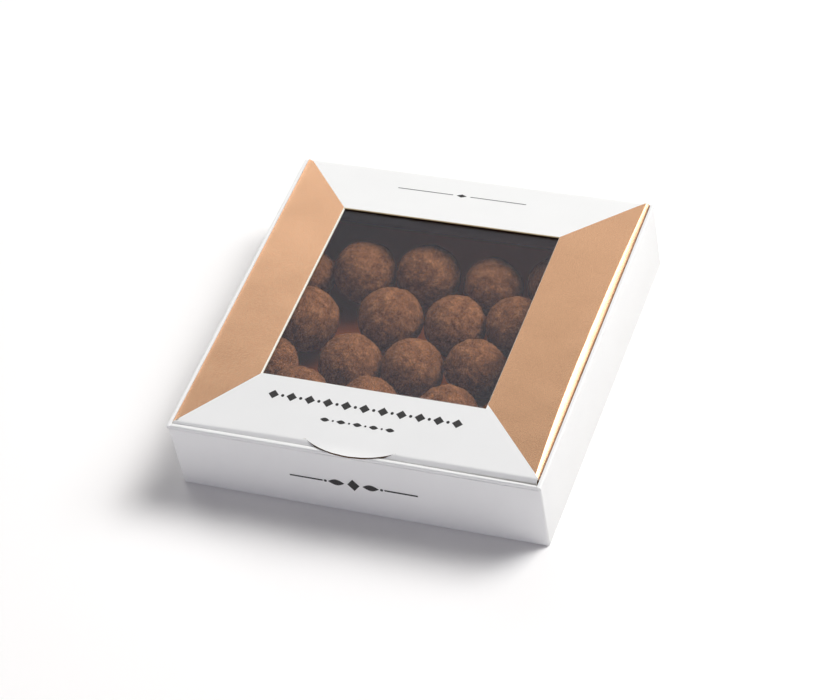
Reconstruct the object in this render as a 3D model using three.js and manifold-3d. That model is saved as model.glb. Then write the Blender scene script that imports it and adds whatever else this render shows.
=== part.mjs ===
// A shut square gift box of folded board with a clear window in its hinged lid, and one
// layer of cocoa-dusted hazelnut dragees inside. Millimetres, +Z up, the front towards -Y.
// The origin is the middle of the base.

import * as THREE from 'three';
import { mergeVertices } from 'three/addons/utils/BufferGeometryUtils.js';
import Module from 'manifold-3d';

// Tray: a square box with doubled walls, whose tops are rolled over.
const BOX_SIDE = 105;
const WALL_HEIGHT = 23;
const WALL_THICKNESS = 0.9;
const BASE_THICKNESS = 0.8;
const CLEARANCE = 0.3;
const RIM_STEPS = 6;

// Liner: a sheet of foiled board that lies on the base.
const LINER_THICKNESS = 0.35;
const LINER_MARGIN = 0.6;
const SHEET_GAP = 0.05;

// Lid: four panels that rise from the creases to the edge of the window.
const LID_EDGE_HEIGHT = 23.6;
const LID_BOARD = 0.9;
const CREASE_RADIUS = 1.2;
const CREASE_START_DEGREES = 15;
const CREASE_STEPS = 5;
const WINDOW_SIDE = 63.6;
const WINDOW_HEIGHT = 26.1;
const FLAP_BOARD = 0.45;

// Flaps that fold down from the lid into the tray. Their tops reach a little into its board.
const FLAP_OVERLAP = 0.1;
const SIDE_FLAP_FRONT = -44;
const SIDE_FLAP_BACK = 47;
const SIDE_FLAP_DEPTH = 14;
const SIDE_FLAP_TAPER = 9;
const TUCK_FLAP_HALF_WIDTH = 48;
const TUCK_FLAP_DEPTH = 13;
const TUCK_FLAP_CORNER = 8;
const TUCK_FLAP_CORNER_STEPS = 6;
const TUCK_FLAP_LEAN = THREE.MathUtils.degToRad(4);

// Hinge strip: the back edge of the lid, which lies over the lowered back wall.
const HINGE_UNDERSIDE = 22.6;
const HINGE_TOP = 23.3;
const HINGE_STRIP_FRONT = 50;
const HINGE_ROUNDING = 0.5;
const HINGE_STEPS = 4;
const BACK_WALL_CUT = 3;

// Thumb tab: a half moon in the plane of the lid that reaches over the front wall.
const TAB_MIDDLE_X = -0.6;
const TAB_HALF_WIDTH = 12.7;
const TAB_CHORD_Y = -49.6;
const TAB_TIP_Y = -53;
const TAB_STEPS = 16;

// Window film: a pane with a sloping skirt, bonded below the panels.
const FILM_THICKNESS = 0.2;
const FILM_GAP = 0.15;
const FILM_SKIRT = 4;

// Dragees: middle x, middle y and largest radius of each, row by row from the back.
const DRAGEES = [
  [-42.6, 21.0, 7.9], [-25.6, 23.9, 8.9], [-7.3, 26.3, 8.85], [11.9, 26.2, 8.2], [29.9, 29.6, 8.3],
  [-36.1, 3.3, 9.2], [-12.2, 8.1, 9.0], [6.2, 9.6, 8.4], [23.4, 12.5, 8.5], [41.6, 13.2, 8.5],
  [-40.8, -13.7, 8.0], [-17.6, -10.2, 8.7], [-0.1, -8.2, 8.5], [16.8, -4.6, 8.3], [34.1, -5.0, 8.6],
  [-27.8, -24.6, 8.45], [-7.2, -24.5, 8.5], [14.9, -22.5, 8.3], [32.6, -22.8, 8.4],
  [-38.0, -40.2, 8.4], [-19.5, -40.3, 8.6], [-0.3, -40.5, 8.5], [18.6, -40.3, 8.4], [37.0, -40.4, 8.3],
];
const DRAGEE_DETAIL = 3;
const DRAGEE_LUMPS = 9;
const LUMP_HEIGHT = 0.05;
const LUMP_SHARPNESS = 5;
const DRAGEE_FACETS = 8;
const FACET_DEPTH = 0.07;
const REST_SHARE = 0.94;

// Worked out from the sizes above.
const BOX_HALF = BOX_SIDE / 2;
const INNER_HALF = BOX_HALF - WALL_THICKNESS;
const LID_HALF = INNER_HALF - CLEARANCE;
const WINDOW_HALF = WINDOW_SIDE / 2;
const CREASE_INSET = LID_HALF - CREASE_RADIUS;
const PANEL_SLOPE = (WINDOW_HEIGHT - LID_EDGE_HEIGHT) / (CREASE_INSET - WINDOW_HALF);
const FLAP_TOP = LID_EDGE_HEIGHT - LID_BOARD + FLAP_OVERLAP;
const LINER_TOP = BASE_THICKNESS + SHEET_GAP + LINER_THICKNESS;

const wasm = await Module();
wasm.setup();

// ---- shared shapes ----

// A run of points along an arc, as [across, up] pairs.
function arc(centre, radius, startDegrees, endDegrees, steps) {
  const points = [];
  for (let i = 0; i <= steps; i += 1) {
    const angle = THREE.MathUtils.degToRad(startDegrees + (endDegrees - startDegrees) * i / steps);
    points.push([centre[0] + radius * Math.cos(angle), centre[1] + radius * Math.sin(angle)]);
  }
  return points;
}

// A square form whose section is given as [half side, height], mitred at its four corners.
function squareForm(section) {
  const points = section.map(([half, height]) => new THREE.Vector2(half * Math.SQRT2, height));
  return new THREE.LatheGeometry(points, 4, Math.PI / 4).rotateX(Math.PI / 2);
}

// A flat plate with the outline given in x and y, from z = 0 up to its thickness.
function plate(outline, thickness) {
  const shape = new THREE.Shape(outline.map(([x, y]) => new THREE.Vector2(x, y)));
  return new THREE.ExtrudeGeometry(shape, { depth: thickness, bevelEnabled: false });
}

// The vertices and triangles alone, with shared vertices merged and empty triangles left out.
function bareMesh(geometry) {
  const bare = geometry.clone();
  bare.deleteAttribute('normal');
  bare.deleteAttribute('uv');
  const merged = mergeVertices(bare);
  const index = Array.from(merged.index.array);
  const kept = [];
  for (let i = 0; i < index.length; i += 3) {
    const [a, b, c] = index.slice(i, i + 3);
    if (a !== b && b !== c && c !== a) {
      kept.push(a, b, c);
    }
  }
  merged.setIndex(kept);
  return merged;
}

function toSolid(geometry) {
  const bare = bareMesh(geometry);
  return new wasm.Manifold(new wasm.Mesh({
    numProp: 3,
    vertProperties: new Float32Array(bare.attributes.position.array),
    triVerts: new Uint32Array(bare.index.array),
  }));
}

function toGeometry(solid) {
  const mesh = solid.getMesh();
  const geometry = new THREE.BufferGeometry();
  geometry.setAttribute('position', new THREE.BufferAttribute(mesh.vertProperties, 3));
  geometry.setIndex(new THREE.BufferAttribute(mesh.triVerts, 1));
  return geometry;
}

// A repeatable run of random numbers between 0 and 1, by the mulberry32 method.
function seededRandom(seed) {
  let state = seed;
  return () => {
    state = (state + 0x6D2B79F5) | 0;
    let mixed = Math.imul(state ^ (state >>> 15), 1 | state);
    mixed = (mixed + Math.imul(mixed ^ (mixed >>> 7), 61 | mixed)) ^ mixed;
    return ((mixed ^ (mixed >>> 14)) >>> 0) / 2 ** 32;
  };
}

function randomDirection(random) {
  const up = 2 * random() - 1;
  const turn = 2 * Math.PI * random();
  const across = Math.sqrt(1 - up * up);
  return new THREE.Vector3(across * Math.cos(turn), across * Math.sin(turn), up);
}

// ---- the tray ----

function trayGeometry() {
  const rimRadius = WALL_THICKNESS / 2;
  const rimHeight = WALL_HEIGHT - rimRadius;
  const walls = toSolid(squareForm([
    [0, 0],
    [BOX_HALF, 0],
    ...arc([BOX_HALF - rimRadius, rimHeight], rimRadius, 0, 180, RIM_STEPS),
    [INNER_HALF, BASE_THICKNESS],
    [0, BASE_THICKNESS],
  ]));
  const cut = new THREE.BoxGeometry(2 * INNER_HALF, BACK_WALL_CUT, BACK_WALL_CUT);
  cut.translate(0, BOX_HALF, HINGE_UNDERSIDE - CLEARANCE + BACK_WALL_CUT / 2);
  return toGeometry(walls.subtract(toSolid(cut)));
}

function linerGeometry() {
  const side = 2 * (INNER_HALF - LINER_MARGIN);
  const sheet = new THREE.BoxGeometry(side, side, LINER_THICKNESS);
  return sheet.translate(0, 0, LINER_TOP - LINER_THICKNESS / 2);
}

// ---- the lid ----

function lidPanels() {
  return squareForm([
    [WINDOW_HALF, WINDOW_HEIGHT - LID_BOARD],
    [CREASE_INSET, LID_EDGE_HEIGHT - LID_BOARD],
    [LID_HALF, LID_EDGE_HEIGHT - LID_BOARD],
    ...arc([CREASE_INSET, LID_EDGE_HEIGHT - CREASE_RADIUS], CREASE_RADIUS,
      CREASE_START_DEGREES, 90, CREASE_STEPS),
    [WINDOW_HALF, WINDOW_HEIGHT],
    [WINDOW_HALF, WINDOW_HEIGHT - LID_BOARD],
  ]);
}

function hingeStrip() {
  const outline = [
    [HINGE_STRIP_FRONT, HINGE_UNDERSIDE],
    [BOX_HALF, HINGE_UNDERSIDE],
    ...arc([BOX_HALF - HINGE_ROUNDING, HINGE_TOP - HINGE_ROUNDING], HINGE_ROUNDING, 0, 90, HINGE_STEPS),
    [HINGE_STRIP_FRONT, HINGE_TOP],
  ];
  return plate(outline, 2 * LID_HALF)
    .rotateX(Math.PI / 2)
    .rotateZ(Math.PI / 2)
    .translate(-LID_HALF, 0, 0);
}

// A side flap's outer face is at side * LID_HALF, and its front and back ends taper downwards.
function sideFlap(side) {
  const bottom = FLAP_TOP - SIDE_FLAP_DEPTH;
  const outline = [
    [SIDE_FLAP_FRONT, FLAP_TOP],
    [SIDE_FLAP_FRONT + SIDE_FLAP_TAPER, bottom],
    [SIDE_FLAP_BACK - SIDE_FLAP_TAPER, bottom],
    [SIDE_FLAP_BACK, FLAP_TOP],
  ];
  const lowX = side > 0 ? LID_HALF - FLAP_BOARD : -LID_HALF;
  return plate(outline, FLAP_BOARD)
    .rotateX(Math.PI / 2)
    .rotateZ(Math.PI / 2)
    .translate(lowX, 0, 0);
}

function tuckFlap() {
  const inset = TUCK_FLAP_HALF_WIDTH - TUCK_FLAP_CORNER;
  const cornerHeight = TUCK_FLAP_CORNER - TUCK_FLAP_DEPTH;
  const outline = [
    [-TUCK_FLAP_HALF_WIDTH, 0],
    ...arc([-inset, cornerHeight], TUCK_FLAP_CORNER, 180, 270, TUCK_FLAP_CORNER_STEPS),
    ...arc([inset, cornerHeight], TUCK_FLAP_CORNER, 270, 360, TUCK_FLAP_CORNER_STEPS),
    [TUCK_FLAP_HALF_WIDTH, 0],
  ];
  return plate(outline, FLAP_BOARD)
    .rotateX(Math.PI / 2)
    .translate(0, FLAP_BOARD, 0)
    .rotateX(TUCK_FLAP_LEAN)
    .translate(0, -LID_HALF, FLAP_TOP);
}

function thumbTab() {
  const sagitta = TAB_CHORD_Y - TAB_TIP_Y;
  const radius = (TAB_HALF_WIDTH ** 2 + sagitta ** 2) / (2 * sagitta);
  const halfAngle = THREE.MathUtils.radToDeg(Math.asin(TAB_HALF_WIDTH / radius));
  const middle = [TAB_MIDDLE_X, TAB_TIP_Y + radius];
  const outline = arc(middle, radius, 270 - halfAngle, 270 + halfAngle, TAB_STEPS);
  return plate(outline, FLAP_BOARD).translate(0, 0, LID_EDGE_HEIGHT - FLAP_BOARD);
}

function lidGeometry() {
  const panels = toSolid(lidPanels());
  return toGeometry([hingeStrip(), sideFlap(-1), sideFlap(1), tuckFlap(), thumbTab()]
    .reduce((lid, piece) => lid.add(toSolid(piece)), panels));
}

function filmGeometry() {
  const top = WINDOW_HEIGHT - LID_BOARD - FILM_GAP;
  const skirtHalf = WINDOW_HALF + FILM_SKIRT;
  const drop = PANEL_SLOPE * FILM_SKIRT;
  return squareForm([
    [0, top - FILM_THICKNESS],
    [WINDOW_HALF, top - FILM_THICKNESS],
    [skirtHalf, top - FILM_THICKNESS - drop],
    [skirtHalf, top - drop],
    [WINDOW_HALF, top],
    [0, top],
  ]);
}

// ---- the dragees ----

// A coated nut: a ball pressed into soft flats by its neighbours, with low rounded lumps
// between them and a flat spot below. No point is further than the radius from the middle.
function drageeGeometry(radius, random) {
  const lumps = Array.from({ length: DRAGEE_LUMPS }, () => randomDirection(random));
  const facets = Array.from({ length: DRAGEE_FACETS }, () => ({
    facing: randomDirection(random),
    reach: 1 - FACET_DEPTH * random(),
  }));
  const geometry = bareMesh(new THREE.IcosahedronGeometry(1, DRAGEE_DETAIL));
  const places = geometry.attributes.position;
  const direction = new THREE.Vector3();
  for (let i = 0; i < places.count; i += 1) {
    direction.fromBufferAttribute(places, i).normalize();
    const rise = Math.max(0, ...lumps.map((lump) => direction.dot(lump))) ** LUMP_SHARPNESS;
    let reach = 1 - LUMP_HEIGHT * (1 - rise);
    for (const facet of facets) {
      const along = direction.dot(facet.facing);
      reach = along > 0 ? Math.min(reach, facet.reach / along) : reach;
    }
    direction.multiplyScalar(radius * reach);
    direction.z = Math.max(direction.z, -REST_SHARE * radius);
    places.setXYZ(i, direction.x, direction.y, direction.z);
  }
  return geometry;
}

// ---- materials and assembly ----

const whiteBoard = { color: 0xf3f3f2, roughness: 0.45, metalness: 0 };
const copperFoil = { color: 0xd6a581, roughness: 0.3, metalness: 0.9 };
const clearFilm = { color: 0xdfe4ea, roughness: 0.05, metalness: 0, transparent: true, opacity: 0.2 };
const cocoaCoat = { color: 0x6f4a38, roughness: 0.95, metalness: 0 };

function part(name, geometry, finish) {
  const mesh = new THREE.Mesh(geometry, new THREE.MeshStandardMaterial(finish));
  mesh.name = name;
  return mesh;
}

function drageeLayer() {
  const layer = new THREE.Group();
  DRAGEES.forEach(([x, y, radius], i) => {
    const number = i + 1;
    const name = `dragee_${String(number).padStart(2, '0')}`;
    const dragee = part(name, drageeGeometry(radius, seededRandom(number)), cocoaCoat);
    dragee.position.set(x, y, LINER_TOP + SHEET_GAP + REST_SHARE * radius);
    layer.add(dragee);
  });
  return layer;
}

const box = new THREE.Group();
box.add(part('tray', trayGeometry(), whiteBoard));
box.add(part('liner', linerGeometry(), copperFoil));
box.add(drageeLayer());

const lid = new THREE.Group();
lid.add(part('lid', lidGeometry(), whiteBoard));
lid.add(part('window_film', filmGeometry(), clearFilm));
box.add(lid);

export default box;
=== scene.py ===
import math

import bmesh
import bpy
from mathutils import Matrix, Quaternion, Vector, noise


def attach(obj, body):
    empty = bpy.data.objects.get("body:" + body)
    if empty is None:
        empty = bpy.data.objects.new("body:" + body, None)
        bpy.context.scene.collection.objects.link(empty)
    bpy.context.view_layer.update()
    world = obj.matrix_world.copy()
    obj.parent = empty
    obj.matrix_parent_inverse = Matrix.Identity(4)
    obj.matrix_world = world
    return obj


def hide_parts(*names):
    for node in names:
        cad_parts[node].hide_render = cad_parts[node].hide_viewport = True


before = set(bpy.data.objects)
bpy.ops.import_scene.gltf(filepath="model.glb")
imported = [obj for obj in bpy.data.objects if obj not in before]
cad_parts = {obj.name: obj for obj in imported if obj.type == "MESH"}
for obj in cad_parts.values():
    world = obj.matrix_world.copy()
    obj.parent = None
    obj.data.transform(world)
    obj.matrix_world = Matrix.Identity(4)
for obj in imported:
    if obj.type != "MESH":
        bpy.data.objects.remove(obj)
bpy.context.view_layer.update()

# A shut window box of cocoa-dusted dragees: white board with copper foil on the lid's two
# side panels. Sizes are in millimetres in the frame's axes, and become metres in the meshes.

MM = 0.001

# ---- sizes ----

# Tray: walls of doubled board with a rolled rim on the front and the two sides. The foot of
# the walls is given by how far it stands back at each height.
BOX_HALF = 52.5
RIM_STANDS_OUT = 0.08
WALL_HALF = BOX_HALF - RIM_STANDS_OUT
FOOT_ROUNDING = ((0.42, 0.0), (0.12, 0.12), (0.0, 0.4))
INNER_HALF = 51.6
BASE_TOP = 0.8
WALL_TOP = 22.1
CORNER_RADIUS = 0.7
INNER_CORNER_RADIUS = 0.2
INNER_BEVEL = 0.1
COVE = 2.0
COVE_DEGREES = 75
COVE_STEPS = 5

# The groove under the rim, and the rim with its two roundings, its laps over the wall and a
# thin core that the mesh is closed by.
GROOVE_HALF = 52.1
GROOVE_DEPTH = 0.4
RIM_TOP = 23.0
RIM_INNER = 51.38
RIM_ROUNDING = 0.35
RIM_INNER_ROUNDING = 0.15
RIM_LAP = 0.1
RIM_OUTER_DROP = 0.25
RIM_INNER_DROP = 0.4
RIM_CLEARANCE = 0.02
RIM_CORE = 0.1
RIM_REACH = {"front": (-51.3, 51.3), "right": (-52.45, 52.4), "left": (-52.4, 52.45)}
RIM_STEPS = 24

# The front wall leans out at its foot, in shares of the flare, and its rim gets narrower.
WALL_FLARE = 0.45
FLARE_AT_LEFT = 0.35
FLARE_AT_RIM = 0.1
RIM_NARROWS = 0.35

# Lid: panels that fall from the window to the creases. The window is cut a little askew.
WINDOW_HALF = 32.0
WINDOW_EDGE = {"front": 31.8, "right": 31.4, "back": 32.5, "left": 32.2}
WINDOW_TOP = 26.1
LID_HALF = 51.3
LID_BACK = 52.2
BACK_MITRE = 50.0
RIGHT_MITRE_START = 30.35
RIGHT_MITRE_END = 49.9
PANEL_DROP = 2.67
PANEL_ANGLE = math.atan(PANEL_DROP / (LID_HALF - WINDOW_HALF))
PANEL_BOARD = 0.9
PANEL_SPANS = 12
PANEL_STEPS = 32

# How the panels sag here and there: the height of the noise and its middle, the size of its
# waves and its place.
PANEL_WAVE = 0.08
PANEL_WAVE_MEAN = 0.7
PANEL_WAVE_SIZE = 23.0
PANEL_WAVE_PLACE = 0.5

# The cut edge of the window: an upper ply with a bevel over a lower one that stands back.
CUT_BEVEL = {"front": 0.12, "right": 0.12, "back": 0.1, "left": 0.3}
UPPER_PLY = {"front": 0.5, "right": 0.5, "back": 0.42, "left": 0.7}
LOWER_PLY_INSET = 0.6
PLY_STEP = 0.3

# The end of the front panel's board that laps over the right panel at the window.
CORNER_LAP = 0.5
CORNER_PLY = 0.4
CORNER_BELOW_TOP = 0.03

# Creases: each bends in parts, given by the angle in degrees that a part ends at and its
# radius. The right one is widest at one place, and the front one from one place to the right
# end. Both have CREASE_END_SIZE of their width at their tight ends. The front crease follows
# the left mitre from LEFT_MITRE_STARTS on.
CREASE_BENDS = {
    "front": ((34, 1.2), (39, 12.0), (90, 0.35)),
    "right": ((22, 1.0), (43, 6.2), (62, 0.9), (90, 0.3)),
    "left": ((90, 0.6),),
}
BEND_STEPS = 8
CREASE_END_SIZE = 0.45
RIGHT_CREASE_WIDEST = -12.0
FRONT_CREASE_FULL_FROM = -22.0
LEFT_MITRE_STARTS = 46.0
CORNER_GAP = 0.4

# The back panel's bend over the back wall, as (out, height), and the crease below it.
BACK_FLAT_END = 51.6
BACK_BEND = ((51.9, 23.5), (52.2, 23.3), (52.4, 23.0), (52.5, 22.75))
HINGE_UNDERSIDE = 22.6
HINGE_RADIUS = 0.38
HINGE_INSET = 0.4
HINGE_DROP = 0.2
HINGE_HALF_WIDTH = 51.2

# Side flaps below the lid's creases.
FLAP_BOARD = 0.45
FLAP_BOTTOM = 8.9
FLAP_SHOULDER = 0.3
SIDE_FLAP_BACK = 47.0
SIDE_FLAP_FRONT = -44.0
SIDE_FLAP_TAPER = 9.0

# Tuck flap: its lengths of board are measured from the chord of the thumb tab. It is as wide
# as the front panel down to TUCK_TOP, and nearly as the lid down to TUCK_SHOULDER. Its mesh
# keeps straight columns as far out as TUCK_STRAIGHT, and has finer rows over the crease.
TUCK_HALF_WIDTH = 48.0
TUCK_CORNER = 8.0
TUCK_LEAN = math.radians(4)
TUCK_PATH = 15.5
TUCK_TOP = 0.5
TUCK_SHOULDER = 3.0
TUCK_STRAIGHT = 20.0
TUCK_FINE_PATH = 4.0
TUCK_FINE_ROWS = 20
TUCK_ROWS = 10
TUCK_COLUMNS = 96

# The gap between the crease and the front rim, at its widest, and where it starts.
FRONT_GAP = 0.34
FRONT_GAP_START = -15.0

# Thumb tab: a segment of a circle beyond its chord. It ends TAB_POINT short of the circle, so
# that its tip has some width, and TAB_LIFT of its fall is taken away for each millimetre, so
# that it bends up.
TAB_MIDDLE_X = -0.6
TAB_HALF_WIDTH = 12.7
TAB_CHORD = 49.6
TAB_DEPTH = 3.4
TAB_RADIUS = (TAB_HALF_WIDTH ** 2 + TAB_DEPTH ** 2) / (2 * TAB_DEPTH)
TAB_BOARD = 0.64
TAB_POINT = 0.01
TAB_LIFT = 0.2
TAB_ROWS = 10
TAB_COLUMNS = 32

# Film: held flat at the edge of the window, it ripples and sags towards the middle, fully so
# from FILM_FREE_FROM inside the edge. Its ripple has a size along x and y, and a place in the
# noise.
FILM_TOP = 25.46
FILM_THICKNESS = 0.2
FILM_MARGIN = 3.5
FILM_STEPS = 40
FILM_FREE_FROM = 12.0
FILM_RIPPLE = 0.22
FILM_SAG = 0.12
FILM_WAVE_SIZE = (27.0, 19.0)
FILM_WAVE_PLACE = 3.1

# Dragees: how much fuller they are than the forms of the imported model, the height and size
# of their lumps, pits and powder, the step from one dragee's noise to the next one's, and how
# near the points at a seam lie that are joined.
PLUMPNESS = 0.5
CRUST = ((0.30, 3.4), (0.25, 1.3), (0.14, 0.55))
SEED_STEP = Vector((3.33, 6.39, 1.17))
SEAM = 0.01

# Printed ornaments: how far the ink stands out of the board and reaches into it, and where
# the middle of each one lies, along its side and up the wall or out on the panel.
INK_RISE = 0.03
INK_DEPTH = 0.05
WALL_ORNAMENT_PLACE = (-0.8, 11.2)
LARGE_ORNAMENT_PLACE = (-0.6, 37.8)
SMALL_ORNAMENT_PLACE = (-0.9, 43.0)
BACK_ORNAMENT_PLACE = (-1.4, 44.6)
DOT_STEPS = 12
LEAF_STEPS = 8
RULE_STEPS = 10

# Camera, fitted to the corners of the box.
CAMERA_PLACE = (254.7, -480.0, 565.5)
CAMERA_AIM = (5.9, -12.8, 23.0)
CAMERA_ROLL = math.radians(-12.13)
CAMERA_LENS = 121.3
SENSOR_WIDTH = 36.0

# Floor of the stage.
FLOOR_HALF = 3000.0

# Lamps around the box, in metres: (width, height) of each kind.
LAMP_DISTANCE = 3.0
LAMP_SIZE = (1.2, 1.2)
KEY_SIZE = (1.35, 1.35)
FILL_SIZE = (6.0, 2.2)

# The four sides of the lid and tray: a quarter turn about Z for each. Seen from outside,
# a side runs from its left-hand neighbour to its right-hand one.
SIDES = {"front": 0, "right": 1, "back": 2, "left": 3}


# ---- meshes ----

def turned(side, along, out, height):
    """The point that lies along a side, out from the middle and up, in the frame's axes."""
    x, y = along, -out
    for _ in range(SIDES[side]):
        x, y = -y, x
    return Vector((x, y, height))


def make_piece(name, points, faces, materials, face_materials=None, smooth=True):
    """A mesh object from points in millimetres, with its faces turned outwards."""
    mesh = bpy.data.meshes.new(name)
    mesh.from_pydata([Vector(p) * MM for p in points], [], faces)
    for material in materials:
        mesh.materials.append(material)
    if face_materials:
        mesh.polygons.foreach_set("material_index", face_materials)
    form = bmesh.new()
    form.from_mesh(mesh)
    bmesh.ops.recalc_face_normals(form, faces=form.faces)
    form.to_mesh(mesh)
    form.free()
    mesh.polygons.foreach_set("use_smooth", [smooth] * len(mesh.polygons))
    piece = bpy.data.objects.new(name, mesh)
    bpy.context.scene.collection.objects.link(piece)
    return piece


def sharpen(piece, degrees=35):
    """Keeps edges crisp that turn by more than the angle."""
    form = bmesh.new()
    form.from_mesh(piece.data)
    for edge in form.edges:
        edge.smooth = not edge.is_manifold or edge.calc_face_angle(0.0) < math.radians(degrees)
    form.to_mesh(piece.data)
    form.free()
    return piece


def warp(piece, moved):
    """Moves each of the piece's points to the place that the function gives for it."""
    for vertex in piece.data.vertices:
        vertex.co = moved(*(vertex.co / MM)) * MM
    return piece


def place(piece, body, slot, *nodes):
    """Says which body the piece rides on and the CAD nodes that it stands for; the slot is not used."""
    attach(piece, body)
    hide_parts(*nodes)
    return piece


def board(name, outer, inner, materials, inner_kinds=None, cut_rows=0):
    """A sheet between two grids of points. The outer face has the first material, and the cut
    edges and the first cut_rows rows the second; the rows of the inner face have the second, or
    that of inner_kinds."""
    rows, columns = len(outer), len(outer[0])
    points = [point for row in outer + inner for point in row]
    under = rows * columns
    faces, kinds = [], []
    for i in range(rows - 1):
        for j in range(columns - 1):
            a = i * columns + j
            quad = (a, a + 1, a + columns + 1, a + columns)
            faces += [quad, tuple(under + corner for corner in quad)]
            kinds += [1 if i < cut_rows else 0, inner_kinds[i] if inner_kinds else 1]
    edge = list(range(columns)) + [i * columns + columns - 1 for i in range(1, rows)]
    edge += [(rows - 1) * columns + j for j in range(columns - 2, -1, -1)]
    edge += [i * columns for i in range(rows - 2, 0, -1)]
    for a, b in zip(edge, edge[1:] + edge[:1]):
        faces.append((a, b, under + b, under + a))
        kinds.append(1)
    return sharpen(make_piece(name, points, faces, materials, kinds))


def folded_board(name, side, stations, steps, materials, wave=PANEL_WAVE, **kinds):
    """A folded sheet along one side. A station is (outer point, inner point, low, high): the
    points are (out, height) across the fold, and low to high is its reach along the side. The
    kinds are those of board."""
    grids = [[], []]
    for outer, inner, low, high in stations:
        for grid, (out, height) in zip(grids, (outer, inner)):
            alongs = [low + (high - low) * i / steps for i in range(steps + 1)]
            grid.append([uneven(turned(side, along, out, height), wave) for along in alongs])
    return board(name, *grids, materials, **kinds)


def uneven(point, wave=PANEL_WAVE):
    """The point, lowered a little here and there, as board does that is not quite flat."""
    spot = Vector((point.x / PANEL_WAVE_SIZE, point.y / PANEL_WAVE_SIZE, PANEL_WAVE_PLACE))
    sag = wave * (PANEL_WAVE_MEAN - noise.noise(spot))
    return point - Vector((0, 0, sag))


def square_loop(half, radius, height, corner_steps=5):
    """The points of a level square with rounded corners."""
    loop = []
    for quarter in range(4):
        for i in range(corner_steps + 1):
            angle = math.radians(90 * quarter + 90 * i / corner_steps)
            x = (half - radius) * (1 if quarter in (0, 3) else -1) + radius * math.cos(angle)
            y = (half - radius) * (1 if quarter in (0, 1) else -1) + radius * math.sin(angle)
            loop.append((x, y, height))
    return loop


def stacked_loops(name, loops, materials, kinds=None):
    """A closed form over loops of equal length, with a flat face on the first and the last."""
    count = len(loops[0])
    points = [point for loop in loops for point in loop]
    faces = [tuple(range(count)), tuple(range(len(points) - count, len(points)))]
    face_kinds = [0, kinds[-1] if kinds else 0]
    for level in range(len(loops) - 1):
        base = level * count
        for i in range(count):
            j = (i + 1) % count
            faces.append((base + i, base + j, base + count + j, base + count + i))
            face_kinds.append(kinds[level] if kinds else 0)
    return sharpen(make_piece(name, points, faces, materials, face_kinds))


def arc_points(centre, radius, start, end, steps):
    """Points (out, height) along an arc, with angles in degrees."""
    turns = [math.radians(start + (end - start) * i / steps) for i in range(steps + 1)]
    return [(centre[0] + radius * math.cos(a), centre[1] + radius * math.sin(a)) for a in turns]


# ---- materials ----

class Paint:
    """A material under construction, with its nodes reached by short calls."""

    def __init__(self, name):
        self.material = bpy.data.materials.new(name)
        self.material.use_nodes = True
        self.tree = self.material.node_tree
        self.shader = self.tree.nodes["Principled BSDF"]
        self.place = self.tree.nodes.new("ShaderNodeTexCoord").outputs["Object"]

    def set(self, **values):
        """Constant values of the shader."""
        for name, value in values.items():
            self.shader.inputs[name.replace("_", " ")].default_value = value

    def noise(self, size, detail, roughness=0.55):
        """Noise whose features are about size millimetres across."""
        texture = self.tree.nodes.new("ShaderNodeTexNoise")
        texture.inputs["Scale"].default_value = 1 / (size * MM)
        texture.inputs["Detail"].default_value = detail
        texture.inputs["Roughness"].default_value = roughness
        self.tree.links.new(self.place, texture.inputs["Vector"])
        return texture.outputs["Fac"]

    def ramp(self, factor, *stops):
        """Colours by position: each stop is (position, (red, green, blue))."""
        ramp = self.tree.nodes.new("ShaderNodeValToRGB")
        elements = ramp.color_ramp.elements
        while len(elements) < len(stops):
            elements.new(0.5)
        for element, (position, colour) in zip(elements, stops):
            element.position = position
            element.color = (*colour, 1)
        self.tree.links.new(factor, ramp.inputs["Fac"])
        return ramp.outputs["Color"]

    def tones(self, factor, dark, light):
        """A colour between two, over the middle range of the factor."""
        return self.ramp(factor, (0.3, dark), (0.7, light))

    def span(self, factor, low, high):
        """The factor's middle range, stretched over low to high."""
        mapped = self.tree.nodes.new("ShaderNodeMapRange")
        mapped.inputs["From Min"].default_value = 0.3
        mapped.inputs["From Max"].default_value = 0.7
        mapped.inputs["To Min"].default_value = low
        mapped.inputs["To Max"].default_value = high
        self.tree.links.new(factor, mapped.inputs["Value"])
        return mapped.outputs["Result"]

    def multiply(self, share, first, second):
        """The first colour, multiplied by that share of the second."""
        mix = self.tree.nodes.new("ShaderNodeMix")
        mix.data_type = "RGBA"
        mix.blend_type = "MULTIPLY"
        mix.inputs["Factor"].default_value = share
        self.tree.links.new(first, mix.inputs["A"])
        self.tree.links.new(second, mix.inputs["B"])
        return mix.outputs["Result"]

    def bump(self, height, depth, strength, below=None):
        """Relief of the given depth in millimetres, on top of an earlier relief."""
        bump = self.tree.nodes.new("ShaderNodeBump")
        bump.inputs["Strength"].default_value = strength
        bump.inputs["Distance"].default_value = depth * MM
        self.tree.links.new(height, bump.inputs["Height"])
        if below:
            self.tree.links.new(below, bump.inputs["Normal"])
        return bump.outputs["Normal"]

    def link(self, **sources):
        """Inputs of the shader that other nodes feed."""
        for name, source in sources.items():
            self.tree.links.new(source, self.shader.inputs[name.replace("_", " ")])


def white_board():
    """The coated face of the board, with a faint satin sheen."""
    paint = Paint("white_board")
    cloud = paint.noise(14, detail=2)
    fibre = paint.noise(0.5, detail=6, roughness=0.7)
    tone = paint.tones(cloud, (0.818, 0.816, 0.808), (0.833, 0.831, 0.823))
    paint.link(Base_Color=tone, Roughness=paint.span(fibre, 0.40, 0.52))
    paint.link(Normal=paint.bump(fibre, 0.02, 0.35))
    paint.set(Coat_Weight=0.15, Coat_Roughness=0.3)
    return paint.material


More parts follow.
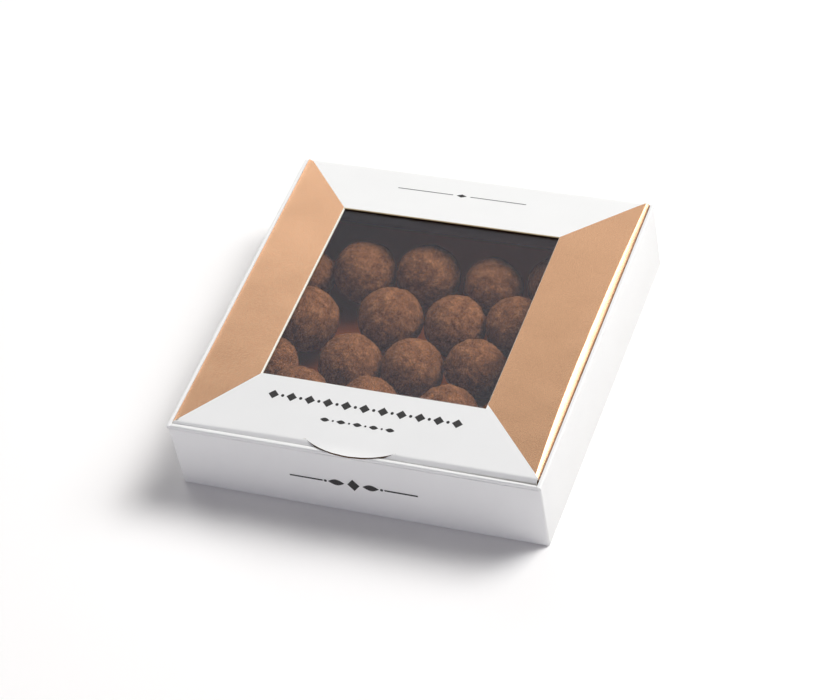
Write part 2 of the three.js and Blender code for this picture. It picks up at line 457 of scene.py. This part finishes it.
def raw_board(name, dark, light):
    """The uncoated inner face and the cut edges of the board."""
    paint = Paint(name)
    layers = paint.noise(0.25, detail=5, roughness=0.7)
    tone = paint.ramp(layers, (0.35, dark), (0.65, light))
    paint.link(Base_Color=tone, Normal=paint.bump(layers, 0.04, 0.6))
    paint.set(Roughness=0.85)
    return paint.material


def copper_foil():
    """The foil of the lid, which waves a little and has a fine peel."""
    paint = Paint("copper_foil")
    wave = paint.noise(16, detail=1)
    peel = paint.noise(0.7, detail=3, roughness=0.6)
    grain = paint.noise(0.12, detail=2)
    tone = paint.tones(wave, (0.55, 0.32, 0.190), (0.58, 0.34, 0.203))
    soft = paint.bump(wave, 0.25, 0.5)
    rough = paint.bump(peel, 0.018, 0.6, below=soft)
    paint.link(Base_Color=tone, Roughness=paint.span(grain, 0.22, 0.30), Normal=rough)
    paint.set(Metallic=1.0)
    return paint.material


def foil_lining():
    """The foil inside the box, which is smoother than that of the lid."""
    paint = Paint("foil_lining")
    wave = paint.noise(9, detail=2)
    tone = paint.tones(wave, (0.62, 0.16, 0.045), (0.70, 0.19, 0.055))
    paint.link(Base_Color=tone, Normal=paint.bump(wave, 0.3, 0.5))
    paint.set(Metallic=1.0, Roughness=0.4)
    return paint.material


def inner_walls_painted_shade():
    """The same foil on the inside of the walls, a little rougher, with its colour darkened as painted
    shade.
    """
    paint = Paint("inner_walls_painted_shade")
    wave = paint.noise(9, detail=2)
    tone = paint.tones(wave, (0.12, 0.06, 0.04), (0.16, 0.08, 0.05))
    paint.link(Base_Color=tone, Normal=paint.bump(wave, 0.3, 0.5))
    paint.set(Metallic=1.0, Roughness=0.5)
    return paint.material


def painted_shade_ply():
    """Painted shade: dark brown for the lower ply below the window's edge, which lies in its own shade,
    and for the thumb tab's cut edge.
    """
    paint = Paint("painted_shade_ply")
    layers = paint.noise(0.4, detail=3)
    paint.link(Base_Color=paint.tones(layers, (0.055, 0.028, 0.012), (0.10, 0.052, 0.022)))
    paint.set(Roughness=0.8, Specular_IOR_Level=0.2)
    return paint.material


def clear_film():
    """Almost all of the film is clear, and what is left of it mirrors the room."""
    paint = Paint("clear_film")
    ripple = paint.noise(22, detail=1)
    paint.link(Roughness=paint.span(ripple, 0.02, 0.07), Normal=paint.bump(ripple, 0.4, 0.5))
    paint.set(Base_Color=(0.92, 0.91, 1.0, 1), Metallic=1.0, Alpha=0.0225)
    return paint.material


def cocoa_colours(paint, powder):
    """Brown patches under powder whose tone follows its relief, darker in the pits and lighter on the
    peaks: the powder's own mottling with painted shade and painted highlight. A few pale grains lie on
    top.
    """
    dark, middle, light = (0.165, 0.060, 0.022), (0.25, 0.097, 0.036), (0.36, 0.152, 0.062)
    patches = paint.ramp(paint.noise(2.6, detail=3), (0.32, dark), (0.5, middle), (0.68, light))
    # Painted shade in the powder's pits and painted highlight on its peaks, where its relief is low and
    # high.
    pits, dust, peaks = (0.14, 0.13, 0.12), (0.70, 0.70, 0.70), (1.30, 1.30, 1.30)
    dust_shade_and_highlight = paint.ramp(powder, (0.41, pits), (0.5, dust), (0.59, peaks))
    bare, pale = (1.0, 1.0, 1.0), (1.7, 1.7, 1.6)
    grains = paint.ramp(paint.noise(0.4, detail=3), (0.56, bare), (0.66, pale))
    return paint.multiply(1.0, paint.multiply(0.9, patches, dust_shade_and_highlight), grains)


def cocoa_coat():
    paint = Paint("cocoa_coat")
    crumbs = paint.noise(0.9, detail=6, roughness=0.8)
    powder = paint.noise(0.42, detail=6, roughness=0.85)
    crust = paint.bump(crumbs, 0.2, 0.9)
    relief = paint.bump(powder, 0.09, 0.8, below=crust)
    paint.link(Base_Color=cocoa_colours(paint, powder), Normal=relief)
    paint.set(Roughness=0.95, Specular_IOR_Level=0.12)
    return paint.material


def dark_ink():
    paint = Paint("dark_ink")
    patches = paint.noise(0.3, detail=3)
    paint.link(Base_Color=paint.tones(patches, (0.012, 0.011, 0.011), (0.03, 0.028, 0.028)))
    paint.set(Roughness=0.5)
    return paint.material


def pale_floor():
    """A matt sheet that the box stands on."""
    paint = Paint("pale_floor")
    paint.set(Base_Color=(0.985, 0.97, 0.96, 1), Roughness=0.9, Specular_IOR_Level=0.1)
    return paint.material


BOARD = white_board()
RAW = raw_board("raw_board", (0.90, 0.85, 0.74), (0.97, 0.95, 0.88))
# A darker, yellower copy of the raw board: painted shade for the back panel's cut edges, which face away
# from the keys.
RAW_PAINTED_SHADE = raw_board("raw_board_painted_shade", (0.72, 0.58, 0.30), (0.90, 0.78, 0.48))
# Painted shade: a dark brown that stands in for the shade under the window's edge and along the tab's
# edge.
PAINTED_SHADE = painted_shade_ply()
INSIDE = inner_walls_painted_shade()
FOIL = copper_foil()
LINING = foil_lining()
FILM = clear_film()
COCOA = cocoa_coat()
INK = dark_ink()


# ---- tray ----

def flared(x, y, z):
    """The front wall leans out below, and more so on the right."""
    along = (x + BOX_HALF) / (2 * BOX_HALF)
    across = FLARE_AT_LEFT + (1 - FLARE_AT_LEFT) * along
    up = 1 - (1 - FLARE_AT_RIM) * z / RIM_TOP
    return Vector((x, y - WALL_FLARE * across * up * max(0.0, -y) / BOX_HALF, z))


def narrowed_rim(x, y, z):
    """The front rim gets narrower towards the right, from the inside."""
    along = max(0.0, (x - FRONT_GAP_START) / (BOX_HALF - FRONT_GAP_START))
    inwards = max(0.0, BOX_HALF + y) / (BOX_HALF - RIM_INNER)
    return Vector((x, y - RIM_NARROWS * along * inwards, z))


def tray_walls():
    """The walls and the base, from the underside outwards, up, over and down to the base."""
    outer = [(WALL_HALF - inset, height) for inset, height in FOOT_ROUNDING]
    outer += [(WALL_HALF, WALL_TOP - GROOVE_DEPTH)]
    outer += [(GROOVE_HALF, WALL_TOP - GROOVE_DEPTH / 2), (GROOVE_HALF, WALL_TOP)]
    inner = [(INNER_HALF + INNER_BEVEL / 2, WALL_TOP), (INNER_HALF, WALL_TOP - INNER_BEVEL)]
    inner += arc_points((INNER_HALF - COVE, BASE_TOP + COVE), COVE, 0, -COVE_DEGREES, COVE_STEPS)
    inner += [(INNER_HALF - COVE, BASE_TOP)]
    loops = [square_loop(half, CORNER_RADIUS, height) for half, height in outer]
    loops += [square_loop(half, INNER_CORNER_RADIUS, height) for half, height in inner]
    kinds = [0] * len(outer) + [1] * len(inner)
    # The inner faces take the darkened foil, painted shade.
    walls = warp(stacked_loops("tray_walls", loops, [BOARD, INSIDE], kinds), flared)
    return place(walls, "box", "white_board", "tray")


def rim_outline():
    """A rolled rim: the outer board comes over the top and down inside the wall."""
    outer = (BOX_HALF - RIM_ROUNDING, RIM_TOP - RIM_ROUNDING)
    inner = (RIM_INNER + RIM_INNER_ROUNDING, RIM_TOP - RIM_INNER_ROUNDING)
    return [
        (WALL_HALF - RIM_LAP, WALL_TOP - RIM_OUTER_DROP),
        (BOX_HALF, WALL_TOP - RIM_LAP),
        *arc_points(outer, RIM_ROUNDING, 0, 90, 5),
        *arc_points(inner, RIM_INNER_ROUNDING, 90, 180, 3),
        (RIM_INNER, WALL_TOP - RIM_LAP),
        (INNER_HALF + RIM_CLEARANCE, WALL_TOP - RIM_INNER_DROP),
    ]


def rims():
    middle = (RIM_INNER + BOX_HALF) / 2
    for side, (low, high) in RIM_REACH.items():
        stations = []
        for out, height in rim_outline():
            core = (middle + RIM_CORE * (out - middle), WALL_TOP - RIM_LAP)
            stations.append(((out, height), core, low, high))
        rim = folded_board(f"rim_{side}", side, stations, RIM_STEPS, [BOARD, BOARD], wave=0.0)
        if side == "front":
            warp(rim, narrowed_rim)
        place(rim, "box", "white_board", "tray")


def hinge_crease():
    """The bend of the board between the back wall and the lid."""
    middle = (BOX_HALF - HINGE_INSET, HINGE_UNDERSIDE - HINGE_DROP)
    stations = []
    for out, height in arc_points(middle, HINGE_RADIUS, -90, 90, 8):
        core = (middle[0] - HINGE_INSET, height)
        stations.append(((out, height), core, -HINGE_HALF_WIDTH, HINGE_HALF_WIDTH))
    crease = folded_board("hinge_crease", "back", stations, 1, [BOARD, BOARD], wave=0.0)
    return place(crease, "box", "white_board", "tray")


def liner():
    """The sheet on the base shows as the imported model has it, with its own foil."""
    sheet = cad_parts["liner"].data
    sheet.materials.clear()
    sheet.materials.append(LINING)


# ---- lid ----

def panel_height(side, out):
    """The height of a panel's face before it bends into the crease."""
    edge = WINDOW_EDGE[side]
    if side == "back":
        less = (BACK_MITRE - WINDOW_HALF) / (LID_HALF - WINDOW_HALF)
        return WINDOW_TOP - PANEL_DROP * less * (out - edge) / (LID_BACK - edge)
    return WINDOW_TOP - PANEL_DROP * (out - edge) / (LID_HALF - edge)


def mitre(side, neighbour):
    """The fold between two panels: its first and last place out from the middle on the one
    side, and the same along it. The front panel's board runs on past the corner of the window,
    over the right panel's foil."""
    outs = [WINDOW_EDGE[side], LID_HALF]
    alongs = [WINDOW_EDGE[neighbour], LID_HALF]
    if neighbour == "back":
        outs[1], alongs[1] = BACK_MITRE, LID_BACK
    elif side == "back":
        outs[1], alongs[1] = LID_BACK, BACK_MITRE
    elif (side, neighbour) == ("right", "front"):
        alongs = [RIGHT_MITRE_START, RIGHT_MITRE_END]
    elif (side, neighbour) == ("front", "right"):
        outs = [RIGHT_MITRE_START, RIGHT_MITRE_END]
    return outs, alongs


def panel_reach(side, out):
    """Where the panel's two mitres are along the side, at a distance out from the middle."""
    names = list(SIDES)
    ends = []
    for neighbour in (names[SIDES[side] - 1], names[(SIDES[side] + 1) % 4]):
        (near, far), (start, end) = mitre(side, neighbour)
        share = min(1.0, max(0.0, (out - near) / (far - near)))
        ends.append(start + (end - start) * share)
    return -ends[0], ends[1]


def panel_stations(side, last):
    """From the cut edge of the window to the end of the flat part. The lower ply of the board
    stands back from the edge of the window."""
    edge = WINDOW_EDGE[side]
    ply = UPPER_PLY[side]
    inset = edge + LOWER_PLY_INSET
    bevel = CUT_BEVEL[side]
    shapes = [
        ((edge, WINDOW_TOP - bevel), (edge, WINDOW_TOP - ply)),
        ((edge + bevel, panel_height(side, edge + bevel)), (inset, panel_height(side, inset) - ply)),
    ]
    start = inset + PLY_STEP
    flat = [start + (last - start) * i / PANEL_SPANS for i in range(PANEL_SPANS + 1)]
    for out in [inset, *flat]:
        height = panel_height(side, out)
        shapes.append(((out, height), (out, height - PANEL_BOARD)))
    return [(outer, inner, *panel_reach(side, outer[0])) for outer, inner in shapes]


def crease_bend(side):
    """The bend from the panel to the flap: (outer point, inner point) pairs, ending at LID_HALF.
    Each part of the bend turns on to its angle with its own radius."""
    angle = PANEL_ANGLE
    out = height = 0.0
    bend = [(out, height, angle)]
    for end_degrees, radius in CREASE_BENDS[side]:
        turn = (math.radians(end_degrees) - angle) / BEND_STEPS
        for _ in range(BEND_STEPS):
            out += radius * (math.sin(angle + turn) - math.sin(angle))
            height -= radius * (math.cos(angle) - math.cos(angle + turn))
            angle += turn
            bend.append((out, height, angle))
    start = LID_HALF - out
    base = panel_height(side, start)
    pairs = []
    for out, height, angle in bend:
        outer = (start + out, base + height)
        inner = (outer[0] - FLAP_BOARD * math.sin(angle), outer[1] - FLAP_BOARD * math.cos(angle))
        pairs.append((outer, inner))
    return pairs


def tightened(side, along, out, height, size):
    """Where a point of the lid comes to lie when the crease is made smaller there."""
    bend = crease_bend(side)
    (start, top), bottom = bend[0][0], bend[-1][0][1]
    if out <= start:
        return turned(side, along, out, height)
    depth = top - height
    shrunk = size * min(depth, top - bottom) + max(0.0, depth - top + bottom)
    new_start = LID_HALF - (LID_HALF - start) * size
    return turned(side, along, LID_HALF - (LID_HALF - out) * size, panel_height(side, new_start) - shrunk)


def tighter_right(x, y, z):
    """The crease on the right is widest near the middle and tighter towards its two ends."""
    end = LID_HALF if y > 0 else -LID_HALF
    share = (y - RIGHT_CREASE_WIDEST) / (end - RIGHT_CREASE_WIDEST)
    return tightened("right", y, x, z, 1 - (1 - CREASE_END_SIZE) * share ** 2)


def tighter_front(x, y, z):
    """The crease at the front is tighter towards its left end, where its points keep to the
    mitre as they move out."""
    share = max(0.0, (x - FRONT_CREASE_FULL_FROM) / (-LID_HALF - FRONT_CREASE_FULL_FROM))
    point = tightened("front", x, -y, z, 1 - (1 - CREASE_END_SIZE) * share)
    by_the_mitre = min(1.0, max(0.0, (-x - LEFT_MITRE_STARTS) / (LID_HALF - LEFT_MITRE_STARTS)))
    point.x = max(CORNER_GAP - LID_HALF, x + (point.y - y) * by_the_mitre) if by_the_mitre else x
    return point


def lid_panel(side, stations, face, cut):
    """A panel with a cut edge, with painted shade under that edge and raw on the rest of its inner face.
    """
    materials = [face, cut, PAINTED_SHADE, RAW]
    # The first two inner rows, under the window's edge, are painted shade.
    kinds = [2, 2] + [3] * (len(stations) - 3)
    name = f"lid_{side}"
    return folded_board(name, side, stations, PANEL_STEPS, materials, inner_kinds=kinds, cut_rows=1)


def side_flap_stations(side, top):
    """The flap from below its shoulder down to its edge, with tapered ends."""
    low, high = SIDE_FLAP_FRONT, SIDE_FLAP_BACK
    if side == "left":
        low, high = -high, -low
    stations = []
    for height, inset in ((top - FLAP_SHOULDER, 0.0), (FLAP_BOTTOM, SIDE_FLAP_TAPER)):
        inner = (LID_HALF - FLAP_BOARD, height)
        stations.append(((LID_HALF, height), inner, low + inset, high - inset))
    return stations


def side_panel(side):
    bend = crease_bend(side)
    stations = panel_stations(side, bend[0][0][0])
    end_size = CREASE_END_SIZE if side == "right" else 1.0
    for outer, inner in bend[1:]:
        low, high = panel_reach(side, LID_HALF - (LID_HALF - outer[0]) * end_size)
        stations.append((outer, inner, max(low, -LID_BACK), min(high, LID_BACK)))
    stations += side_flap_stations(side, bend[-1][0][1])
    panel = lid_panel(side, stations, FOIL, RAW)
    if side == "right":
        warp(panel, tighter_right)
    return place(panel, "lid", "copper_foil", "lid")


def back_panel():
    stations = panel_stations("back", BACK_FLAT_END)
    for out, height in BACK_BEND:
        inner = (min(out, LID_BACK), HINGE_UNDERSIDE)
        stations.append(((out, height), inner, *panel_reach("back", out)))
    # Its cut edges take the darker copy of the raw board, painted shade.
    panel = lid_panel("back", stations, BOARD, RAW_PAINTED_SHADE)
    return place(panel, "lid", "white_board", "lid")


def slit_depth(x):
    """How far the cut around the thumb tab lies beyond the tab's chord."""
    off = x - TAB_MIDDLE_X
    if abs(off) >= TAB_HALF_WIDTH:
        return 0.0
    return TAB_DEPTH - TAB_RADIUS + math.sqrt(TAB_RADIUS ** 2 - off ** 2)


def tuck_section(path):
    """The outer and inner points of the front flap at a length of board beyond the chord."""
    bend = crease_bend("front")
    start, flap_top = bend[0][0][0], bend[-1][0][1]
    flat = (start - TAB_CHORD) / math.cos(PANEL_ANGLE)
    if path <= flat:
        out = TAB_CHORD + path * math.cos(PANEL_ANGLE)
        height = panel_height("front", out)
        return (out, height), (out, height - PANEL_BOARD)
    length = sum(math.dist(a[0], b[0]) for a, b in zip(bend, bend[1:]))
    if path < flat + length:
        place_in_bend = (path - flat) / length * (len(bend) - 1)
        first = int(place_in_bend)
        share = place_in_bend - first
        pairs = zip(bend[first], bend[first + 1])
        return tuple(tuple(p + (q - p) * share for p, q in zip(a, b)) for a, b in pairs)
    down = path - flat - length
    out = LID_HALF - down * math.tan(TUCK_LEAN)
    return (out, flap_top - down), (out - FLAP_BOARD, flap_top - down)


def front_gap(x, out):
    """How far the crease stands back from the rim, which grows towards the right."""
    along = max(0.0, (x - FRONT_GAP_START) / (LID_HALF - FRONT_GAP_START))
    return FRONT_GAP * along * min(1.0, max(0.0, (out - TAB_CHORD) / (LID_HALF - TAB_CHORD)))


def tuck_width(path):
    """The half width of the front flap, which has round corners below."""
    if path < TUCK_SHOULDER:
        return LID_HALF - CORNER_GAP
    corner = max(0.0, TUCK_CORNER - (TUCK_PATH - path))
    return TUCK_HALF_WIDTH - TUCK_CORNER + math.sqrt(max(0.0, TUCK_CORNER ** 2 - corner ** 2))


def front_panel():
    panel = lid_panel("front", panel_stations("front", TAB_CHORD), BOARD, RAW)
    return place(panel, "lid", "white_board", "lid")


def window_corner():
    """The end of the front panel's board that lies above the right corner of the window."""
    near, far = RIGHT_MITRE_START, WINDOW_EDGE["front"] + CORNER_LAP
    right = WINDOW_EDGE["right"]
    corners = [(right, -near), (right, -far), (right + far - near, -far)]
    tops = [uneven(Vector((x, y, WINDOW_TOP - CORNER_BELOW_TOP))) for x, y in corners]
    points = tops + [point - Vector((0, 0, CORNER_PLY)) for point in tops]
    faces = [(0, 1, 2), (3, 4, 5), (0, 1, 4, 3), (1, 2, 5, 4), (2, 0, 3, 5)]
    corner = make_piece("window_corner", points, faces, [BOARD], smooth=False)
    return place(corner, "lid", "white_board", "lid")


def tuck_place(x, path, low, high):
    """Where a point of the tuck flap lies along the front, when its ends follow the flap's own
    edge instead of low and high."""
    over = abs(x) - TUCK_STRAIGHT
    if over <= 0:
        return x
    end = high if x > 0 else -low
    edge = end if path < TUCK_TOP else tuck_width(path)
    return math.copysign(TUCK_STRAIGHT + over * (edge - TUCK_STRAIGHT) / (end - TUCK_STRAIGHT), x)


def tuck_rows():
    """Lengths of board from the chord down: fine steps over the crease, and wider ones below."""
    fine = [TUCK_FINE_PATH * i / TUCK_FINE_ROWS for i in range(TUCK_FINE_ROWS + 1)]
    rest = TUCK_PATH - TUCK_FINE_PATH
    return fine + [TUCK_FINE_PATH + rest * i / TUCK_ROWS for i in range(1, TUCK_ROWS + 1)]


def tuck_flap():
    """The crease and the flap, from the chord of the tab downwards, with the slit left open."""
    low, high = panel_reach("front", TAB_CHORD)
    starts = [low + (high - low) * j / TUCK_COLUMNS for j in range(TUCK_COLUMNS + 1)]
    grids = [[], []]
    for row in tuck_rows():
        lines = [[], []]
        for start in starts:
            depth = slit_depth(start)
            path = depth + row * (1 - depth / TUCK_PATH)
            x = tuck_place(start, path, low, high)
            for line, (out, height) in zip(lines, tuck_section(path)):
                line.append(uneven(turned("front", x, out - front_gap(x, out), height)))
        grids[0].append(lines[0])
        grids[1].append(lines[1])
    flap = warp(board("tuck_flap", *grids, [BOARD, RAW]), tighter_front)
    return place(flap, "lid", "white_board", "lid")


def thumb_tab():
    """The half moon reaches over the front rim, and lifts a little off the plane of the lid."""
    tip = TAB_DEPTH - TAB_POINT
    start = panel_height("front", TAB_CHORD)
    tops, bottoms = [], []
    for i in range(TAB_ROWS + 1):
        depth = tip * i / TAB_ROWS
        reach = math.sqrt(max(0.0, TAB_RADIUS ** 2 - (TAB_RADIUS - TAB_DEPTH + depth) ** 2))
        height = start - math.tan(PANEL_ANGLE) * (depth - TAB_LIFT * depth ** 2)
        shares = [2 * j / TAB_COLUMNS - 1 for j in range(TAB_COLUMNS + 1)]
        line = [turned("front", TAB_MIDDLE_X + reach * s, TAB_CHORD + depth, height) for s in shares]
        tops.append([uneven(point) for point in line])
        bottoms.append([point - Vector((0, 0, TAB_BOARD)) for point in tops[-1]])
    # The tab's cut edges are painted dark brown: painted shade for the gap under the tab.
    tab = board("thumb_tab", tops, bottoms, [BOARD, PAINTED_SHADE, RAW], inner_kinds=[2] * TAB_ROWS)
    return place(tab, "lid", "white_board", "lid")


def film_height(x, y):
    """The film ripples and sags inside the window, and follows the panels under its margin."""
    outside = max(-WINDOW_EDGE["left"] - x, x - WINDOW_EDGE["right"])
    outside = max(outside, -WINDOW_EDGE["front"] - y, y - WINDOW_EDGE["back"])
    free = min(1.0, max(0.0, -outside / FILM_FREE_FROM))
    wave_x, wave_y = FILM_WAVE_SIZE
    ripple = FILM_RIPPLE * noise.noise(Vector((x / wave_x, y / wave_y, FILM_WAVE_PLACE)))
    return FILM_TOP - math.tan(PANEL_ANGLE) * max(0.0, outside) + free * (ripple - FILM_SAG)


def window_film():
    low_x, high_x = -WINDOW_EDGE["left"] - FILM_MARGIN, WINDOW_EDGE["right"] + FILM_MARGIN
    low_y, high_y = -WINDOW_EDGE["front"] - FILM_MARGIN, WINDOW_EDGE["back"] + FILM_MARGIN
    shares = [i / FILM_STEPS for i in range(FILM_STEPS + 1)]
    tops, bottoms = [], []
    for across in shares:
        y = low_y + (high_y - low_y) * across
        places = [low_x + (high_x - low_x) * along for along in shares]
        tops.append([Vector((x, y, film_height(x, y))) for x in places])
        bottoms.append([point - Vector((0, 0, FILM_THICKNESS)) for point in tops[-1]])
    pane = board("film_pane", tops, bottoms, [FILM, FILM])
    return place(pane, "lid", "clear_film", "window_film")


# ---- dragees ----

def fine_form(node):
    """A piece with the node's own form, joined at its seams and made finer."""
    form = bmesh.new()
    form.from_mesh(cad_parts[node].data)
    bmesh.ops.remove_doubles(form, verts=form.verts, dist=SEAM * MM)
    mesh = bpy.data.meshes.new(f"cocoa_{node}")
    form.to_mesh(mesh)
    form.free()
    piece = bpy.data.objects.new(f"cocoa_{node}", mesh)
    bpy.context.scene.collection.objects.link(piece)
    finer = piece.modifiers.new("finer", "SUBSURF")
    finer.levels = 3
    graph = bpy.context.evaluated_depsgraph_get()
    piece.data = bpy.data.meshes.new_from_object(piece.evaluated_get(graph))
    piece.modifiers.clear()
    return piece


def add_crust(mesh, seed):
    """Fills the form out and covers it with lumps, pits and powder, but not below its foot."""
    foot = min(vertex.co.z for vertex in mesh.vertices)
    shifts = []
    for vertex in mesh.vertices:
        spot = vertex.co / MM + SEED_STEP * seed
        rise = PLUMPNESS + sum(height * noise.noise(spot / size) for height, size in CRUST)
        shifts.append(vertex.co + vertex.normal * rise * MM)
    for vertex, shift in zip(mesh.vertices, shifts):
        shift.z = max(shift.z, foot)
        vertex.co = shift


def dragees():
    names = sorted(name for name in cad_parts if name.startswith("dragee_"))
    for seed, node in enumerate(names, start=1):
        piece = fine_form(node)
        add_crust(piece.data, seed)
        piece.data.polygons.foreach_set("use_smooth", [True] * len(piece.data.polygons))
        piece.data.materials.clear()
        piece.data.materials.append(COCOA)
        place(piece, "box", "cocoa_coat", node)


# ---- printed ornaments ----

def lozenge(along, across, length, width):
    half, tall = length / 2, width / 2
    ends = [(along - half, across), (along, across - tall)]
    return ends + [(along + half, across), (along, across + tall)]


def dot(along, across, size):
    turns = [math.tau * i / DOT_STEPS for i in range(DOT_STEPS)]
    return [(along + size / 2 * math.cos(a), across + size / 2 * math.sin(a)) for a in turns]


def leaf(along, across, length, width):
    """A pointed oval that lies along the line."""
    shares = [i / LEAF_STEPS for i in range(LEAF_STEPS + 1)]
    low = [(along + length * (t - 0.5), across - width / 2 * math.sin(math.pi * t)) for t in shares]
    high = [(x, 2 * across - y) for x, y in low[-2:0:-1]]
    return low + high


def rule(low, high, across, width):
    alongs = [low + (high - low) * i / RULE_STEPS for i in range(RULE_STEPS + 1)]
    near = [(x, across - width / 2) for x in alongs]
    return near + [(x, across + width / 2) for x in reversed(alongs)]


def spaced(middle, pitch, count):
    """Places along a line, evenly spaced about its middle."""
    return [middle + pitch * (i - (count - 1) / 2) for i in range(count)]


def rules_beside(middle, near, far, across, width):
    """Two rules, from near to far on either side of the middle."""
    left = rule(middle - far, middle - near, across, width)
    return [left, rule(middle + near, middle + far, across, width)]


def printed(name, outlines, spot, body, node):
    """Ink on the board: spot gives the point that lies at a place on it and so far out of it."""
    points, faces = [], []
    for outline in outlines:
        base, count = len(points), len(outline)
        for rise in (INK_RISE, -INK_DEPTH):
            points += [spot(along, across, rise) for along, across in outline]
        faces += [tuple(range(base, base + count)), tuple(range(base + count, base + 2 * count))]
        for i in range(count):
            j = (i + 1) % count
            faces.append((base + i, base + j, base + count + j, base + count + i))
    return place(make_piece(name, points, faces, [INK], smooth=False), body, "dark_ink", node)


def on_front_wall(along, height, rise):
    return flared(*turned("front", along, WALL_HALF + rise, height))


def on_front_panel(along, out, rise):
    return uneven(turned("front", along, out, panel_height("front", out))) + Vector((0, 0, rise))


def on_back_panel(along, out, rise):
    return uneven(turned("back", -along, out, panel_height("back", out))) + Vector((0, 0, rise))


def wall_ornament():
    """A lozenge between two leaves, two dots and two rules."""
    middle, across = WALL_ORNAMENT_PLACE
    marks = [lozenge(middle, across, 3.4, 4.4)]
    marks += rules_beside(middle, 8.8, 18.2, across, 0.5)
    marks += [leaf(along, across, 4.6, 2.2) for along in spaced(middle, 9.8, 2)]
    marks += [dot(along, across, 0.9) for along in spaced(middle, 16.0, 2)]
    printed("ornament_wall", marks, on_front_wall, "box", "tray")


def large_ornament():
    """A band of lozenges with dots between them."""
    middle, across = LARGE_ORNAMENT_PLACE
    marks = [lozenge(along, across, 3.0, 2.7) for along in spaced(middle, 5.2, 11)]
    marks += [dot(along, across, 0.9) for along in spaced(middle, 5.2, 10)]
    printed("ornament_large", marks, on_front_panel, "lid", "lid")


def small_ornament():
    """A band of leaves with dots between them."""
    middle, across = SMALL_ORNAMENT_PLACE
    marks = [leaf(along, across, 2.6, 1.2) for along in spaced(middle, 4.6, 5)]
    marks += [dot(along, across, 0.6) for along in spaced(middle, 4.6, 4)]
    printed("ornament_small", marks, on_front_panel, "lid", "lid")


def back_ornament():
    """A small lozenge between two thin rules."""
    middle, across = BACK_ORNAMENT_PLACE
    marks = rules_beside(middle, 2.6, 19.1, across, 0.25)
    marks += [lozenge(middle, across, 3.0, 1.4)]
    printed("ornament_back", marks, on_back_panel, "lid", "lid")


# ---- stage ----

def floor():
    half = FLOOR_HALF
    corners = [(-half, -half, 0), (half, -half, 0), (half, half, 0), (-half, half, 0)]
    ground = make_piece("floor", corners, [(0, 1, 2, 3)], [pale_floor()], smooth=False)


def area_light(name, azimuth, elevation, strength, size=LAMP_SIZE, colour=(1, 1, 1)):
    """A flat lamp that faces the box. Its strength is the share of white that it alone gives
    to a white face turned towards it, or somewhat less where the lamp is large."""
    turn, rise = math.radians(azimuth), math.radians(elevation)
    level = LAMP_DISTANCE * math.cos(rise)
    position = Vector((level * math.cos(turn), level * math.sin(turn), LAMP_DISTANCE * math.sin(rise)))
    light = bpy.data.lights.new(name, "AREA")
    light.shape = "RECTANGLE"
    light.size, light.size_y = size
    light.energy = strength * (math.pi * LAMP_DISTANCE) ** 2
    light.color = colour
    lamp = bpy.data.objects.new(name, light)
    lamp.location = position
    lamp.rotation_mode = "QUATERNION"
    lamp.rotation_quaternion = (-position).to_track_quat("-Z", "Y")
    bpy.context.scene.collection.objects.link(lamp)


def lights():
    """The two keys are on the right, a wide and a small lamp light the front and the back, and
    the rest are what the foil shows."""
    area_light("key", 47, 53, 0.765, KEY_SIZE, (1.0, 0.99, 0.97))
    area_light("key_low", 34, 41, 0.38, KEY_SIZE, (0.95, 0.975, 1.0))
    area_light("front_fill", -87, 22, 0.45, FILL_SIZE, (0.90, 0.89, 1.0))
    area_light("back_fill", 135, 18, 0.149)
    area_light("foil_right", 90, 42, 0.064)
    area_light("foil_middle", 120, 42, 0.068)
    area_light("foil_left", 150, 42, 0.021)
    area_light("foil_top", 135, 64, 0.055)
    world = bpy.data.worlds.new("studio")
    world.use_nodes = True
    world.node_tree.nodes["Background"].inputs["Strength"].default_value = 0.0
    bpy.context.scene.world = world


def camera():
    lens = bpy.data.cameras.new("camera")
    lens.lens = CAMERA_LENS
    lens.sensor_width = SENSOR_WIDTH
    lens.sensor_fit = "HORIZONTAL"
    viewer = bpy.data.objects.new("camera", lens)
    position, aim = Vector(CAMERA_PLACE) * MM, Vector(CAMERA_AIM) * MM
    level = (aim - position).to_track_quat("-Z", "Y")
    viewer.rotation_mode = "QUATERNION"
    viewer.rotation_quaternion = level @ Quaternion((0, 0, 1), CAMERA_ROLL)
    viewer.location = position
    bpy.context.scene.collection.objects.link(viewer)
    bpy.context.scene.camera = viewer


camera()
tray_walls()
rims()
hinge_crease()
liner()
side_panel("left")
side_panel("right")
back_panel()
front_panel()
tuck_flap()
thumb_tab()
window_corner()
window_film()
dragees()
wall_ornament()
large_ornament()
small_ornament()
back_ornament()
floor()
lights()
bpy.context.scene.view_settings.view_transform = "Standard"
